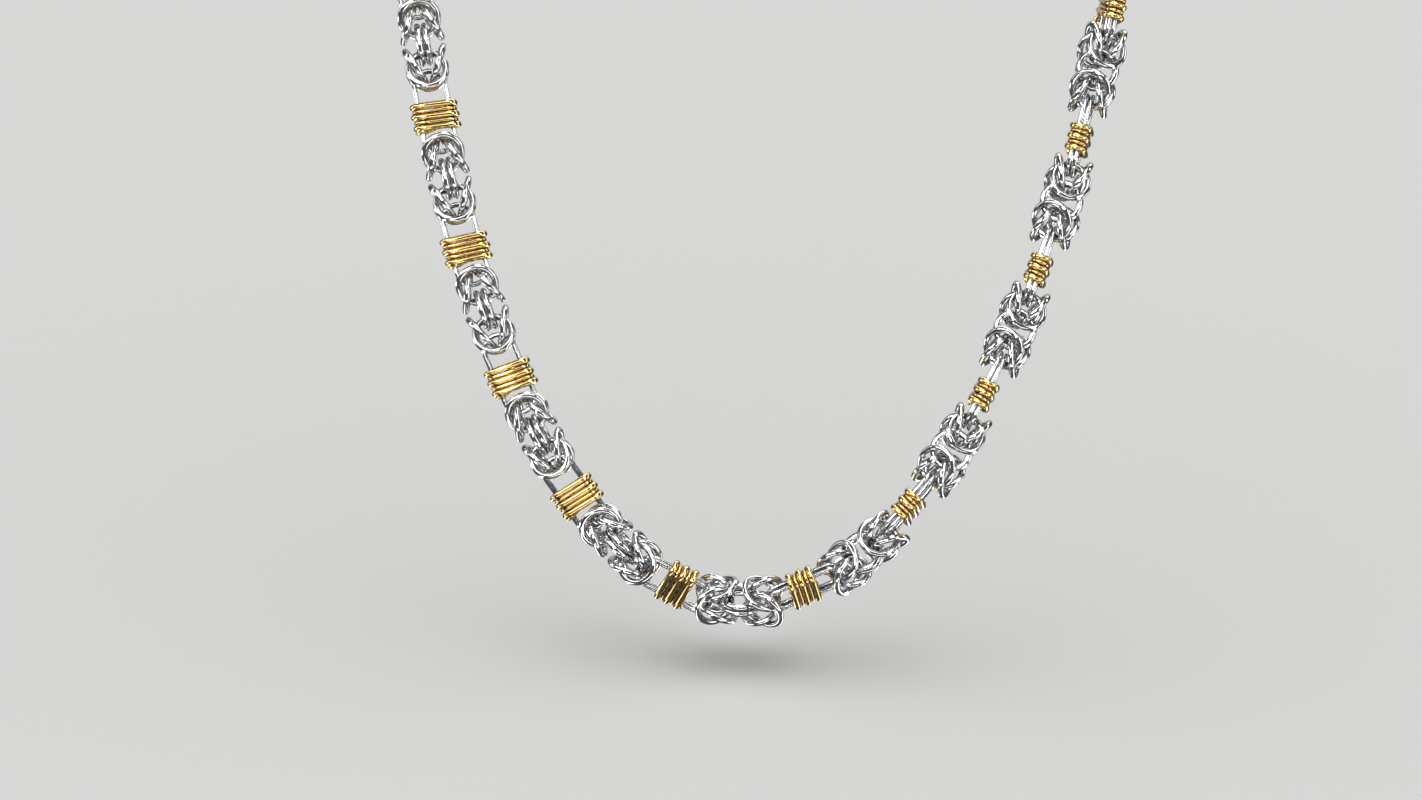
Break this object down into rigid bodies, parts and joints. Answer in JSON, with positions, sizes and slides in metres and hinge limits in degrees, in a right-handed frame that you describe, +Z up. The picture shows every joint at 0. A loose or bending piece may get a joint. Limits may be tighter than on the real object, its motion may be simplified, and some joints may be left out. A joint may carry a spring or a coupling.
{
  "type": "byzantine chain necklace",
  "caption": "Closed neck chain of byzantine-woven round rings in polished steel, alternating with oval link pairs wound in gold-coloured wire, in its worn form.",
  "frame": {"origin": "where the clasp's inner face sits on the nape", "axes": "+Z up, the front of the necklace towards -Y, the wearer's left towards +X"},
  "size_m": [0.1328, 0.1313, 0.1858],
  "materials": {
    "polished_steel": "mirror-polished stainless steel with fine wear",
    "gold_wrap": "polished gold-coloured plating on wire"
  },
  "bodies": {
    "root": {"segment_01": "polished_steel", "segment_02": "polished_steel", "segment_03": "polished_steel", "segment_04": "polished_steel", "segment_05": "polished_steel", "segment_06": "polished_steel", "segment_07": "polished_steel", "segment_08": "polished_steel", "segment_09": "polished_steel", "segment_10": "polished_steel", "segment_11": "polished_steel", "segment_12": "polished_steel", "segment_13": "polished_steel", "segment_14": "polished_steel", "segment_15": "polished_steel", "segment_16": "polished_steel", "segment_17": "polished_steel", "wrap_01": "gold_wrap", "wrap_02": "gold_wrap", "wrap_03": "gold_wrap", "wrap_04": "gold_wrap", "wrap_05": "gold_wrap", "wrap_06": "gold_wrap", "wrap_07": "gold_wrap", "wrap_08": "gold_wrap", "wrap_09": "gold_wrap", "wrap_10": "gold_wrap", "wrap_11": "gold_wrap", "wrap_12": "gold_wrap", "wrap_13": "gold_wrap", "wrap_14": "gold_wrap", "wrap_15": "gold_wrap", "wrap_16": "gold_wrap", "wrap_17": "gold_wrap", "wrap_18": "gold_wrap", "oval_links_left": "polished_steel", "oval_links_right": "polished_steel", "back_chain_left": "polished_steel", "back_chain_right": "polished_steel", "clasp": "polished_steel"}
  },
  "joints": []
}
